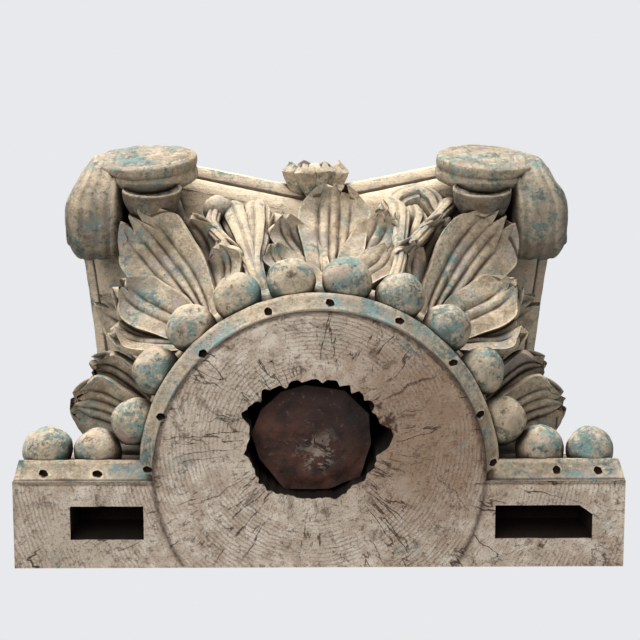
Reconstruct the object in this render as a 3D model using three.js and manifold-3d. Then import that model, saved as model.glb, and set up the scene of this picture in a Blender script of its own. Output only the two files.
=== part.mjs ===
// A carved wooden Corinthian capital for a half column against a pilaster, with the stub of its tenon in the bore.
// The front faces -Y, the flat wall side faces +Y, and the capital stands on its foot at z = 0.
import * as THREE from "three";
import { mergeVertices } from "three/addons/utils/BufferGeometryUtils.js";
import Module from "manifold-3d";

const wasm = await Module();
wasm.setup();

// Driving dimensions in millimetres. While the pieces are made y = 0 is 90 mm in front of the wall side.
const totalHeight = 318;
const wallY = 90;
const frontReach = 252;
const footHalfWidth = 250;
const upperHalfWidth = 198;
const archY = 13;
const rimRadius = 148.5;
const flangeY = 3;
const coveWidth = 12.5;
const flangeCove = 14.5;
const coveRise = 15;
const beadRadius = 21;
const beadRing = 156.5;
const beadZ = 37;
const beadStep = 16.9;
const beadsPerSide = 5;
const flangeBeads = [185, 227];
const flangeBeadY = 0.5;
const abacusZ = 274;
const abacusInset = 24;
const abacusFront = 203;
const abacusSide = 216;
const hornFront = 240;
const hornSide = 240;
const hornX = 192;
const hornY = 200;
const voluteRadius = 49;
const voluteZ = 225;

// The bore, its hewn tenon stub and the two mortises in the foot.
const bore = { x: -6, y: -14.5, halfWidth: 52.5, halfDepth: 48, height: 150, sides: 24, square: 0.86 };
const boreNotches = [
  { turn: -3, spread: 13, depth: 13 },
  { turn: 232, spread: 10, depth: 5 },
  { turn: 203, spread: 10, depth: 5 },
  { turn: 172, spread: 14, depth: 4 },
];
const stub = { x: -5.5, y: -13.5, halfWidth: 48, halfDepth: 43, recess: 22, sides: 9, square: 0.95, endGap: 0.4 };
const mortise = { inner: 144, leftWidth: 60, rightWidth: 80, near: 38.5, depth: 28, height: 62 };

const radians = THREE.MathUtils.degToRad;
const vec = (x, y, z) => new THREE.Vector3(x, y, z);
const mix = THREE.MathUtils.lerp;

function geometryOf(points, faces) {
  const geometry = new THREE.BufferGeometry();
  geometry.setAttribute("position", new THREE.Float32BufferAttribute(points, 3));
  geometry.setIndex(faces);
  return geometry;
}

function solidOf(geometry) {
  const bare = geometry.clone();
  bare.deleteAttribute("normal");
  bare.deleteAttribute("uv");
  const merged = mergeVertices(bare, 1e-3);
  return new wasm.Manifold(
    new wasm.Mesh({
      numProp: 3,
      vertProperties: merged.attributes.position.array,
      triVerts: new Uint32Array(merged.index.array),
    }),
  );
}

function fuse(geometries) {
  return geometries.map(solidOf).reduce((whole, piece) => whole.add(piece));
}

function meshOf(solid, name, material) {
  const { vertProperties, triVerts } = solid.getMesh();
  const mesh = new THREE.Mesh(geometryOf(vertProperties, new THREE.BufferAttribute(triVerts, 1)), material);
  mesh.name = name;
  return mesh;
}

// A closed skin through rings of points, each anticlockwise when seen from the last ring's end.
function skin(rings, capFaces) {
  const count = rings[0].length;
  const last = (rings.length - 1) * count;
  const faces = [];
  for (let low = 0; low < last; low += count) {
    for (let i = 0; i < count; i++) {
      const next = (i + 1) % count;
      faces.push(low + i, low + next, low + count + next, low + i, low + count + next, low + count + i);
    }
  }
  capFaces.forEach(([a, b, c]) => faces.push(a, c, b, last + a, last + b, last + c));
  return geometryOf(rings.flat().flatMap((p) => [p.x, p.y, p.z]), faces);
}

// A skin through plan outlines at rising heights, each anticlockwise from above.
function loft(levels) {
  const rings = levels.map(({ z, outline }) => outline.map(([x, y]) => vec(x, y, z)));
  const flat = levels[0].outline.map(([x, y]) => new THREE.Vector2(x, y));
  return skin(rings, THREE.ShapeUtils.triangulateShape(flat, []));
}

// The plan of the foot and bell: a half round in front of a flat pilaster.
function bellOutline(radius, flangeFront, halfWidth) {
  const arc = [];
  const arcSteps = 20;
  const arcEnd = Math.acos((archY - flangeFront) / radius);
  for (let i = 0; i <= arcSteps; i++) {
    const turn = mix(-arcEnd, arcEnd, i / arcSteps);
    arc.push([radius * Math.sin(turn), archY - radius * Math.cos(turn)]);
  }
  return [[halfWidth, wallY], [-halfWidth, wallY], [-halfWidth, flangeFront], ...arc, [halfWidth, flangeFront]];
}

function makeBell() {
  const lip = rimRadius - coveWidth;
  const neck = rimRadius - 7.5;
  const profile = [
    [0, lip, flangeY + flangeCove, footHalfWidth],
    [7, lip + 2, flangeY + flangeCove - 2, footHalfWidth],
    [coveRise - 3, lip + 7, flangeY + 6, footHalfWidth - 1],
    [coveRise, rimRadius, flangeY, footHalfWidth - 3],
    [coveRise + 3, rimRadius, flangeY, footHalfWidth - 3],
    [coveRise + 4, neck, flangeY + 6, footHalfWidth - 5],
    [beadZ + beadRadius + 3, neck + 11, flangeY + 7, footHalfWidth - 6],
    [beadZ + beadRadius + 14, neck + 2, 12, upperHalfWidth + 4],
    [170, neck + 10, 12, upperHalfWidth - 3],
    [236, neck + 26, 12, upperHalfWidth],
    [abacusZ + 3, neck + 38, 12, upperHalfWidth + 3],
  ];
  return loft(profile.map(([z, radius, front, half]) => ({ z, outline: bellOutline(radius, front, half) })));
}

// The plan of the abacus: hollow front and sides, cut corners, and a straight wall side.
function abacusOutline(inset) {
  const frontSteps = 12;
  const sideSteps = 7;
  const endX = hornX - inset * 0.4;
  const endY = -hornY + inset * 0.4;
  const soft = 10;
  const front = [];
  for (let i = 0; i <= frontSteps; i++) {
    const x = mix(-endX, endX, i / frontSteps);
    const share = (Math.hypot(x, soft) - soft) / (Math.hypot(endX, soft) - soft);
    front.push([x, -(abacusFront - inset) - (hornFront - abacusFront) * share]);
  }
  const side = [];
  for (let i = 0; i <= sideSteps; i++) {
    const y = mix(endY, wallY, i / sideSteps);
    side.push([abacusSide - inset + (hornSide - abacusSide) * Math.abs(y / endY) ** 1.3, y]);
  }
  const left = side.map(([x, y]) => [-x, y]).reverse();
  return [...front, ...side, ...left];
}

function makeAbacus() {
  const step = abacusInset / 2;
  const levels = [
    [abacusZ, abacusInset],
    [abacusZ + 5, step + 2],
    [abacusZ + 14, step],
    [abacusZ + 17, 1],
    [totalHeight - 4, 0],
    [totalHeight, 2],
  ];
  return loft(levels.map(([z, inset]) => ({ z, outline: abacusOutline(inset) })));
}

// A place round the half round, by its plan angle from the front, its radius and its height.
function polar([turn, radius, z], hand = 1) {
  return compass(turn * hand).multiplyScalar(radius).add(vec(0, archY, z));
}

function makeBeads() {
  const places = flangeBeads.flatMap((x) => [vec(x, flangeBeadY, beadZ), vec(-x, flangeBeadY, beadZ)]);
  for (let i = 0; i < beadsPerSide; i++) {
    const place = [beadStep * (i + 0.5), beadRing, beadZ];
    places.push(polar(place, 1), polar(place, -1));
  }
  return places.map((place) => {
    const bead = new THREE.SphereGeometry(beadRadius, 10, 6);
    bead.rotateX(Math.PI / 2);
    bead.rotateZ(Math.atan2(place.x, archY - place.y));
    return bead.translate(place.x, place.y, place.z);
  });
}

// The outward direction at a plan angle from the front.
function compass(turn) {
  return vec(Math.sin(radians(turn)), -Math.cos(radians(turn)), 0);
}

// The centre line of a blade as frames of centre, sideways and outward directions. It leaves its root along grow,
// flares towards face to reach its tip, and rolls over there by curl degrees.
function spine({ root, tip, grow, face, curl }) {
  const rollStart = 0.72;
  const count = 24;
  const way = tip.clone().sub(root);
  const rise = grow.clone().multiplyScalar(way.dot(grow));
  const knee = root.clone().addScaledVector(rise, 0.62).addScaledVector(way.clone().sub(rise), 0.22);
  const curve = new THREE.QuadraticBezierCurve3(root, knee, tip);
  const centre = root.clone();
  const frames = [];
  for (let i = 0; i <= count; i++) {
    const along = curve.getTangent(i / count);
    const sideways = along.clone().cross(face).normalize();
    const normal = sideways.clone().cross(along);
    const roll = radians(curl) * THREE.MathUtils.smoothstep(i / count, rollStart, 1);
    const step = curve.getPoint(Math.min(1, (i + 1) / count)).distanceTo(curve.getPoint(i / count));
    frames.push({ centre: centre.clone(), sideways, normal: normal.clone().applyAxisAngle(sideways, roll) });
    centre.addScaledVector(along.applyAxisAngle(sideways, roll), step);
  }
  return frames;
}

// One carved lobe: a closed blade that starts narrow, swells, and bends outwards towards its round tip.
function makeLobe(shape) {
  const lobe = { neck: 0.4, fullest: 0.85, rootThick: 30, tipThick: 11, steps: 5, across: 4, ...shape };
  const frames = spine(lobe);
  const rings = [];
  for (let i = 0; i <= lobe.steps; i++) {
    const u = 1 - (1 - i / lobe.steps) ** 1.8;
    const { centre, sideways, normal } = frames[Math.round(u * (frames.length - 1))];
    const swell = mix(lobe.neck, 1, Math.sin((Math.min(u / lobe.fullest, 1) * Math.PI) / 2) ** 1.2);
    const round = u < lobe.fullest ? 1 : (1 - ((u - lobe.fullest) / (1.005 - lobe.fullest)) ** 2.4) ** 0.5;
    const half = (lobe.width / 2) * swell * round;
    const thick = mix(lobe.rootThick, lobe.tipThick, Math.min(1, u * 1.25) ** 0.8);
    const ring = [];
    for (let j = 0; j <= lobe.across; j++) {
      const v = (2 * j) / lobe.across - 1;
      ring.push(centre.clone().addScaledVector(sideways, half * v).addScaledVector(normal, -1.2 * (1 - v * v)));
    }
    ring.push(centre.clone().addScaledVector(normal, -thick));
    rings.push(ring);
  }
  const fan = Array.from({ length: lobe.across }, (_, j) => [lobe.across + 1, j, j + 1]);
  return skin(rings, fan);
}

// Lobes by the plan angle, the radius and the height of their root and tip, and their width. The leaves at the
// corners and sides stand on both hands, with angles counted from the front.
const middleLeaf = [
  { root: [4.5, 144, 52], tip: [4.3, 218, 212], width: 66, curl: 40 },
  { root: [1, 150, 84], tip: [-10.5, 196, 172], width: 44, curl: 60 },
  { root: [8.5, 150, 84], tip: [19, 205, 174], width: 46, curl: 60 },
  { root: [0, 146, 56], tip: [-14.5, 176, 126], width: 42, curl: 55 },
  { root: [9, 146, 56], tip: [21.5, 182, 126], width: 42, curl: 55 },
];
const sideLeaves = [
  { root: [40, 144, 52], tip: [40.7, 257, 180], width: 70, curl: 36 },
  { root: [36, 146, 58], tip: [29.8, 221, 180], width: 42, curl: 60 },
  { root: [43.5, 146, 58], tip: [52, 222, 124], width: 52, curl: 50 },
  { root: [46, 146, 54], tip: [60.5, 203, 100], width: 42, curl: 50 },
  { root: [34, 146, 54], tip: [24.5, 193, 128], width: 40, curl: 60 },
  { root: [79, 146, 54], tip: [78, 215, 90], width: 58, curl: 40 },
  { root: [72, 146, 58], tip: [68, 208, 100], width: 42, curl: 50 },
  { root: [60, 146, 70], tip: [59, 228, 186], width: 44, curl: 50 },
  { root: [76, 146, 70], tip: [77, 206, 158], width: 44, curl: 50 },
  { root: [103.4, 185, 66], tip: [100.6, 234, 165], width: 54, curl: 40 },
];

function makeLeafLobe({ root, tip, width, curl }, hand) {
  const broad = 54;
  const detail = width > broad ? { steps: 6, across: 4 } : { steps: 5, across: 2 };
  const face = compass((hand * (root[0] + tip[0])) / 2);
  const line = { root: polar(root, hand), tip: polar(tip, hand), grow: vec(0, 0, 1), face, curl };
  return makeLobe({ ...line, ...detail, width });
}

function makeLeaves() {
  const middle = middleLeaf.map((form) => makeLeafLobe(form, 1));
  const sides = [-1, 1].flatMap((hand) => sideLeaves.map((form) => makeLeafLobe(form, hand)));
  return [...middle, ...sides];
}

// The stems between the leaves: places with a radius at each, and the buds on two of them.
const stems = [
  [[58, -118, 70, 8], [70, -149, 96, 6], [73, -165, 140, 7], [76, -186, 190, 11], [66, -196, 210, 7]],
  [[74, -155, 118, 6], [92, -168, 152, 7], [116, -187, 192, 7], [121, -190, 202, 9]],
  [[64, -180, 214, 12], [76, -192, 236, 14], [98, -198, 246, 14], [114, -190, 236, 13], [122, -176, 216, 9]],
  [[66, -130, 110, 8], [82, -158, 160, 11], [92, -176, 200, 13], [90, -186, 216, 9]],
  [[-44, -118, 70, 8], [-56, -146, 96, 6], [-76, -160, 130, 6], [-97, -175, 170, 7], [-94, -186, 186, 7]],
  [[-44, -118, 70, 8], [-56, -146, 96, 7], [-66, -166, 150, 10], [-77, -186, 204, 12], [-80, -188, 216, 9]],
  [[-40, -120, 70, 8], [-52, -146, 96, 7], [-55, -166, 150, 10], [-58, -186, 204, 12], [-57, -190, 218, 9]],
];
const buds = [[-92, -190, 195, 13.5], [122, -191, 206, 10]];

// A stem through its places: one ring of points round each.
function makeStem(route, sides = 7) {
  const places = route.map(([x, y, z]) => vec(x, y, z));
  const rings = route.map(([, , , radius], i) => {
    const way = places[Math.min(i + 1, places.length - 1)].clone().sub(places[Math.max(i - 1, 0)]).normalize();
    const across = way.clone().cross(vec(0.2, 1, 0.1)).normalize();
    const other = way.clone().cross(across);
    return Array.from({ length: sides }, (_, j) => {
      const turn = (2 * Math.PI * j) / sides;
      const point = places[i].clone().addScaledVector(across, radius * Math.cos(turn));
      return point.addScaledVector(other, radius * Math.sin(turn));
    });
  });
  const fan = Array.from({ length: sides - 2 }, (_, j) => [0, j + 1, j + 2]);
  return skin(rings, fan);
}

function makeStalks() {
  const heads = buds.map(([x, y, z, radius]) => new THREE.SphereGeometry(radius, 8, 5).translate(x, y, z));
  return [...stems.map((route) => makeStem(route)), ...heads];
}

// A scroll disc with its axis along Z: a smooth rim, a sunk face and a raised eye, turned on a lathe.
// back is the share of the radius at its back.
function makeScroll({ radius, thick, back = 1, chamfer = 1 }) {
  const half = thick / 2;
  const profile = [
    [0, -half],
    [radius * back, -half],
    [radius, half - chamfer],
    [radius - chamfer, half],
    [radius * 0.72, half],
    [radius * 0.66, half - 4],
    [0, half + 3],
  ];
  return new THREE.LatheGeometry(profile.map(([r, h]) => new THREE.Vector2(r, h)), 14).rotateX(Math.PI / 2);
}

// Sets a scroll's face towards a direction at a place.
function aim(geometry, direction, place) {
  geometry.applyQuaternion(new THREE.Quaternion().setFromUnitVectors(vec(0, 0, 1), direction.clone().normalize()));
  return geometry.translate(place.x, place.y, place.z);
}

// Thins an aimed scroll towards the corner of the abacus. keptFace is 1 to move its back and -1 to move its face.
function thinTo(geometry, { direction, place, radius, thick, corner, thin, keptFace }) {
  const axis = direction.clone().normalize();
  const points = geometry.attributes.position;
  for (let i = 0; i < points.count; i++) {
    const point = new THREE.Vector3().fromBufferAttribute(points, i);
    const local = point.clone().sub(place);
    const nearness = THREE.MathUtils.smoothstep(local.dot(corner) / radius, 0, 1.05);
    const shift = (local.dot(axis) - (keptFace * thick) / 2) * (thin - 1) * nearness;
    point.addScaledVector(axis, shift);
    points.setXYZ(i, point.x, point.y, point.z);
  }
  return geometry;
}

// The stalk that rises from the bell to each pair of scrolls: places on the right side with a radius at each.
const voluteStalk = [
  [80, -72, 96, 12],
  [104, -104, 150, 20],
  [128, -138, 196, 25],
  [150, -168, 232, 31],
  [166, -186, 262, 36],
];

// Under each corner of the abacus two scrolls meet at a right angle, with a small curl below them.
function makeVolutes() {
  const frontThick = 20;
  const pieces = [];
  for (const hand of [-1, 1]) {
    const front = {
      place: vec(hand * 161, -frontReach + frontThick / 2 + 14, voluteZ + 4),
      direction: vec(hand * 0.05, -1, -0.2),
      radius: voluteRadius,
      thick: frontThick,
      chamfer: 2,
      corner: vec(hand, 0, 0),
      thin: 0.6,
      keptFace: 1,
    };
    const side = {
      place: vec(hand * 206, -190, voluteZ),
      direction: vec(hand, -0.04, -0.06),
      radius: voluteRadius + 1,
      thick: 50,
      chamfer: 7,
      corner: vec(0, -1, 0),
      thin: 0.66,
      keptFace: -1,
    };
    for (const disc of [front, side]) {
      pieces.push(thinTo(aim(makeScroll(disc), disc.direction, disc.place), disc));
    }
    const curl = makeScroll({ radius: 29, thick: 24, back: 0.72 });
    pieces.push(aim(curl, vec(0, -1, -0.24), vec(hand * 151, -194, voluteZ - 40)));
    const corner = new THREE.BoxGeometry(84, 80, 34);
    pieces.push(corner.translate(hand * 178, -194, abacusZ - 10));
    pieces.push(makeStem(voluteStalk.map(([x, ...rest]) => [x * hand, ...rest]), 9));
  }
  return pieces;
}

// The flower on the middle of the abacus: thick petals that flare forwards round a boss.
function makeFlower() {
  const petals = 8;
  const forward = vec(0, -1, 0);
  const centre = vec(-1, -abacusFront - 1, abacusZ + 25);
  const boss = new THREE.CylinderGeometry(15, 9, 34, 9);
  boss.translate(centre.x, centre.y - 9, centre.z);
  const pieces = [boss];
  for (let i = 0; i < petals; i++) {
    const turn = radians((360 / petals) * (i + 0.5));
    const grow = vec(Math.sin(turn), 0, Math.cos(turn));
    const root = centre.clone().addScaledVector(grow, 5);
    const tip = root.clone().addScaledVector(grow, 18 + (i % 3)).addScaledVector(forward, 27 + (i % 2) * 1.5);
    const form = { width: 22 + (i % 3) * 1.3, curl: -30, rootThick: 15, tipThick: 12, fullest: 0.8 };
    pieces.push(makeLobe({ ...form, root, tip, grow, face: forward, steps: 3, across: 2 }));
  }
  const cut = new THREE.BoxGeometry(120, 120, 60);
  cut.translate(0, -abacusFront, totalHeight + 30);
  return { pieces, cut };
}

// A many-sided plan between an ellipse and a rectangle, squarer as square drops below one.
// A notch pushes the outline out around its own direction, in degrees from +X.
function roundPlan({ x, y, halfWidth, halfDepth, sides, square }, notches) {
  const outline = [];
  for (let i = 0; i < sides; i++) {
    const turn = (360 * i) / sides;
    let push = 0;
    for (const notch of notches) {
      const away = Math.abs(((turn - notch.turn + 540) % 360) - 180);
      push += notch.depth * Math.max(0, 1 - away / notch.spread);
    }
    const [across, along] = [Math.cos(radians(turn)), Math.sin(radians(turn))];
    const [fullAcross, fullAlong] = [across, along].map((share) => Math.sign(share) * Math.abs(share) ** square);
    outline.push([x + (halfWidth + push) * fullAcross, y + (halfDepth + push) * fullAlong]);
  }
  return outline;
}

function prism(outline, low, high) {
  return loft([{ z: low, outline }, { z: high, outline }]);
}

function makeMortises() {
  return [-1, 1].map((hand) => {
    const width = hand < 0 ? mortise.leftWidth : mortise.rightWidth;
    const box = new THREE.BoxGeometry(width, mortise.depth, mortise.height * 2);
    box.translate(hand * (mortise.inner + width / 2), mortise.near + mortise.depth / 2, 0);
    return box;
  });
}

function makeCapital() {
  const flower = makeFlower();
  const body = [makeBell(), makeAbacus()];
  const carving = [makeBeads(), makeLeaves(), makeStalks(), makeVolutes(), flower.pieces].flat();
  const boreTool = prism(roundPlan(bore, boreNotches), -20, bore.height);
  const overWall = new THREE.BoxGeometry(800, 200, 800);
  overWall.translate(0, wallY + 100, 0);
  const cuts = [boreTool, ...makeMortises(), flower.cut, overWall];
  return fuse([...body, ...carving]).subtract(fuse(cuts));
}

function makeStub() {
  return solidOf(prism(roundPlan(stub, []), stub.recess, bore.height - stub.endGap));
}

const oldWood = new THREE.MeshStandardMaterial({ color: 0xa9967c, roughness: 0.85, metalness: 0 });
const darkWood = new THREE.MeshStandardMaterial({ color: 0x3a231c, roughness: 0.8, metalness: 0 });

// The finished part's origin is on the ground under the middle of the whole block.
const middleY = (wallY - frontReach) / 2;
const part = new THREE.Group();
part.add(meshOf(makeCapital(), "capital", oldWood));
part.add(meshOf(makeStub(), "tenon_stub", darkWood));
part.position.y = -middleY;

export default part;
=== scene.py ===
"""The look of a carved wooden Corinthian capital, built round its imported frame."""

import math

import bpy
import numpy as np
from mathutils import Matrix, Vector, geometry, noise


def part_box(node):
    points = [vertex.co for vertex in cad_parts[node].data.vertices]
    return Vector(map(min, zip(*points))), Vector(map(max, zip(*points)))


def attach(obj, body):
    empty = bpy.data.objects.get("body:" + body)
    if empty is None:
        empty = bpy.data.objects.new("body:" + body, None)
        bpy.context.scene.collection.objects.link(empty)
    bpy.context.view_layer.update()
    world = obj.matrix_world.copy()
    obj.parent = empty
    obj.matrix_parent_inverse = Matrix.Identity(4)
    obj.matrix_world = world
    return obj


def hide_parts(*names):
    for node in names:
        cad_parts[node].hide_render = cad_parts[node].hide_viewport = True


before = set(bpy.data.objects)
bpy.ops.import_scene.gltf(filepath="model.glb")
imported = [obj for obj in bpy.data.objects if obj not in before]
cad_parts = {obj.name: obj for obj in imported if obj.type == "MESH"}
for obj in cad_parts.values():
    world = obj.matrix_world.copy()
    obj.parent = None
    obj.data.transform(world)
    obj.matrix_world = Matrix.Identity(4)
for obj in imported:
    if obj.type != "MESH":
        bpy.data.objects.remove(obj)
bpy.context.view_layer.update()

# Sizes in millimetres. y = 0 is WALL_Y in front of the wall side, and AXIS_Y puts it in the frame. The half
# round is centred at ARCH_Y.
MM = 0.001
low_corner, high_corner = (np.array(corner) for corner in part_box("capital"))
HEIGHT = (high_corner[2] - low_corner[2]) / MM
WALL_Y = 90.0
AXIS_Y = high_corner[1] / MM - WALL_Y
FOOT_HALF = 250.0
UPPER_HALF = 198.0
ARCH_Y = 13.0
RIM_RADIUS = 148.5
FLANGE_Y = 3.0
COVE_WIDTH = 12.5
LIP_RADIUS = RIM_RADIUS - COVE_WIDTH
FLANGE_COVE = 14.5
COVE_RISE = 15.0
NECK = RIM_RADIUS - 7.5
BEAD_RADIUS = 21.0
BEAD_RING = 156.5
BEAD_Z = 37.0
BEAD_STEP = 16.9
BEADS_PER_SIDE = 5
FLANGE_BEADS = (185.0, 227.0)
FLANGE_BEAD_Y = 0.5
ABACUS_Z = 274.0
ABACUS_INSET = 24.0
ABACUS_FRONT = 203.0
ABACUS_SIDE = 216.0
HORN_FRONT = 240.0
HORN_SIDE = 240.0
HORN_X = 192.0
HORN_Y = 200.0
FRONT_REACH = 252.0
VOLUTE_RADIUS = 49.0
VOLUTE_Z = 225.0
BORE = {"x": -6, "y": -14.5, "half_width": 52.5, "half_depth": 48, "square": 0.86}
BORE_HEIGHT = 150.0
BORE_NOTCHES = ((-3, 13, 13), (232, 10, 5), (203, 10, 5), (172, 14, 4))
STUB_MIDDLE = (-5.5, -13.5)
# The hewn end of the tenon: its corners by direction in degrees from +X and distance from its middle.
STUB_CORNERS = (
    (-23, 52), (6, 50), (40, 53), (73, 47), (118, 51), (158, 49), (184, 52.5), (208, 50), (236, 48),
    (262, 46), (304, 49),
)
STUB_SHARE = 0.97
STUB_RECESS = 22.0
MORTISE_INNER = 144.0
MORTISE_WIDTHS = {-1: 60.0, 1: 80.0}
MORTISE_NEAR = 38.5
MORTISE_DEPTH = 28.0
MORTISE_HEIGHT = 62.0
MORTISE_CUT = {-1: 1.0, 1: 11.0}
# The camera: its place in the same millimetres, the way it looks and its lens.
CAMERA_PLACE = (-14.0, -290.0, -1190.0)
CAMERA_AHEAD = (0.012, 0.1467, 1.0)
CAMERA_LENS = 84.375
UP = np.array((0.0, 0.0, 1.0))


def mix(a, b, t):
    return a + (b - a) * t


def smooth(low, high, value):
    t = np.clip((value - low) / (high - low), 0, 1)
    return t * t * (3 - 2 * t)


def unit(vector):
    return np.asarray(vector, float) / np.linalg.norm(vector)


def compass(turn):
    """The outward direction and the direction to its right, for a plan angle in degrees from the front."""
    angle = math.radians(turn)
    across, along = math.sin(angle), math.cos(angle)
    return np.array((across, -along, 0.0)), np.array((along, across, 0.0))


def polar(turn, radius, z):
    """The place at a plan angle and radius round the half round's centre."""
    face, _ = compass(turn)
    return face * radius + (0, ARCH_Y, z)


# Meshes are pairs of a vertex array in millimetres and a list of faces.
def band(low, high):
    """Faces between two loops of point numbers, anticlockwise seen from high."""
    count = len(low)
    return [(low[i], low[(i + 1) % count], high[(i + 1) % count], high[i]) for i in range(count)]


def skin(rings, caps=True):
    """Joins rings of points, each anticlockwise seen from the last ring's end, into a closed skin."""
    rings = np.asarray(rings, float)
    levels, count = rings.shape[:2]
    loops = np.arange(levels * count).reshape(levels, count).tolist()
    faces = [face for low, high in zip(loops, loops[1:]) for face in band(low, high)]
    if caps:
        faces += [loops[0][::-1], loops[-1]]
    return rings.reshape(-1, 3), faces


def to_object(name, shape):
    verts, faces = shape
    mesh = bpy.data.meshes.new(name)
    placed = (np.asarray(verts, float) + (0, AXIS_Y, 0)) * MM
    mesh.from_pydata(placed.tolist(), [], faces)
    mesh.validate()
    piece = bpy.data.objects.new(name, mesh)
    bpy.context.scene.collection.objects.link(piece)
    return piece


def combine(first, second, operation):
    """Joins second to first or cuts it out of it; second is used up."""
    step = first.modifiers.new("step", "BOOLEAN")
    step.operation = operation
    step.solver = "MANIFOLD"
    step.object = second
    graph = bpy.context.evaluated_depsgraph_get()
    result = bpy.data.meshes.new_from_object(first.evaluated_get(graph))
    first.modifiers.clear()
    spent = first.data
    first.data = result
    bpy.data.meshes.remove(spent)
    bpy.data.objects.remove(second)


def fuse(name, shapes):
    """One object from closed shapes, joined two by two until one is left."""
    objects = [to_object("%s_%d" % (name, i), shape) for i, shape in enumerate(shapes)]
    while len(objects) > 1:
        for first, second in zip(objects[::2], objects[1::2]):
            combine(first, second, "UNION")
        objects = objects[::2]
    objects[0].name = name
    objects[0].data.name = name
    return objects[0]


# The block: foot, bell and the end face with its bore and mortises.
def bell_outline(radius, flange_front, half):
    """Plan of the foot or bell, anticlockwise: the wall side, the flanges and the half round between them."""
    end = math.acos((ARCH_Y - flange_front) / radius)
    root = radius * math.sin(end)
    sides = (
        ((half, WALL_Y), (-half, WALL_Y), 70),
        ((-half, WALL_Y), (-half, flange_front), 18),
        ((-half, flange_front), (-root, flange_front), 24),
    )
    points = []
    for start, stop, count in sides:
        points += [tuple(mix(a, b, i / count) for a, b in zip(start, stop)) for i in range(count)]
    points += [(radius * math.sin(a), ARCH_Y - radius * math.cos(a)) for a in np.linspace(-end, end, 170)]
    for start, stop, count in sides[:0:-1]:
        points += [(-mix(stop[0], start[0], i / count), mix(stop[1], start[1], i / count))
                   for i in range(1, count + 1)]
    return np.array(points[:-1])


def inside(points, loop):
    """Which points lie inside a closed loop."""
    x, y = points[:, 0], points[:, 1]
    found = np.zeros(len(points), bool)
    x0, y0 = loop[-1]
    for x1, y1 in loop:
        crosses = (y0 > y) != (y1 > y)
        if y0 != y1:
            found ^= crosses & (x < (x1 - x0) * (y - y0) / (y1 - y0) + x0)
        x0, y0 = x1, y1
    return found


def filled(outer, holes, step):
    """Triangles that fill a loop round its holes, with a grid of points inside. Loop points come first."""
    loops = [outer, *holes]
    coords = np.concatenate(loops)
    edges = []
    start = 0
    for loop in loops:
        edges += [(start + i, start + (i + 1) % len(loop)) for i in range(len(loop))]
        start += len(loop)
    (x0, y0), (x1, y1) = outer.min(0), outer.max(0)
    random = np.random.default_rng(4)
    grid = np.array([(x, y) for x in np.arange(x0, x1, step) for y in np.arange(y0, y1, step)])
    grid += random.uniform(-0.2, 0.2, grid.shape) * step
    near = 0.55 * step
    keep = inside(grid, outer)
    for hole in holes:
        keep &= ~inside(grid, hole)
    for loop in loops:
        for point in loop:
            keep &= np.abs(grid - point).max(1) > near
    coords = np.concatenate((coords, grid[keep]))
    verts, _, faces, origins, _, _ = geometry.delaunay_2d_cdt([Vector(c) for c in coords], edges, [], 0, 1e-5)
    back = [ids[0] for ids in origins]
    faces = np.array([[back[i] for i in face] for face in faces])
    middles = coords[faces].mean(1)
    keep = inside(middles, outer)
    for hole in holes:
        keep &= ~inside(middles, hole)
    return coords, faces[keep]


def mortise_loop(hand):
    """Anticlockwise rectangle; the right one has a corner cut off at its far end."""
    near, far = MORTISE_NEAR, MORTISE_NEAR + MORTISE_DEPTH
    inner, outer = MORTISE_INNER, MORTISE_INNER + MORTISE_WIDTHS[hand]
    cut = MORTISE_CUT[hand]
    corners = [(inner, near), (outer - cut, near), (outer, near + cut * 0.7), (outer, far), (inner, far)]
    if hand < 0:
        corners = [(-x, y) for x, y in corners][::-1]
    steps = np.arange(14)[:, None] / 14
    ends = corners[1:] + corners[:1]
    return np.concatenate([mix(np.array(a), np.array(b), steps) for a, b in zip(corners, ends)])


def noise_of(points, scale, seed):
    """A smooth noise at each point."""
    places = points * scale + (seed, -seed, 0)
    return np.array([noise.noise(Vector(place)) for place in places])


def bore_outline():
    """The bore's mouth: between an ellipse and a rectangle, with notches, gouges and a ragged edge."""
    count = 220
    turns = np.arange(count) * 360 / count
    push = np.zeros(count)
    for middle, spread, depth in BORE_NOTCHES:
        away = np.abs((turns - middle + 540) % 360 - 180)
        push += depth * np.clip(1 - away / spread, 0, None)
    turns = np.radians(turns)
    outward = np.column_stack((np.cos(turns), np.sin(turns)))
    across, along = (np.sign(share) * np.abs(share) ** BORE["square"] for share in outward.T)
    x = BORE["x"] + (BORE["half_width"] + push) * across
    y = BORE["y"] + (BORE["half_depth"] + push) * along
    ragged = np.zeros(count)
    for scale, level, amount in ((3.2, 1.7, 4.0), (11, 4.1, 2.4)):
        ragged += amount * noise_of(np.column_stack((outward * scale, np.full(count, level))), 1, 0)
    gouges = np.abs(np.sin(turns * 13)) * smooth(-0.2, 0.6, -outward[:, 1]) * 4.2
    return np.column_stack((x, y)) + outward * (ragged + gouges)[:, None]


def end_face_depth(points):
    """How far the end face is sunk at each plan point: a groove inside the lip, tool marks and the knot."""
    x, y = points.T
    radial = LIP_RADIUS - np.hypot(x, y - ARCH_Y)
    flat = np.minimum(y - FLANGE_Y - FLANGE_COVE, FOOT_HALF - np.abs(x))
    from_lip = np.maximum(radial, flat)
    places = np.column_stack((x, y, np.zeros(len(x))))
    depth = 1.7 * smooth(0.8, 2.6, from_lip)
    depth += 1.3 * np.exp(-(((from_lip - 3.2) / 1.2) ** 2))
    grain = noise_of(places, 0.05, 3) * 0.5 + noise_of(places, 0.22, 5) * 0.35
    depth += smooth(1, 6, from_lip) * grain
    knot = np.hypot((x - 66) / 34, (y + 34) / 24)
    depth += 1.4 * (1 - smooth(0.5, 1.1, knot)) * (0.3 + 0.9 * np.abs(noise_of(places, 0.25, 9)))
    return depth


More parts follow.
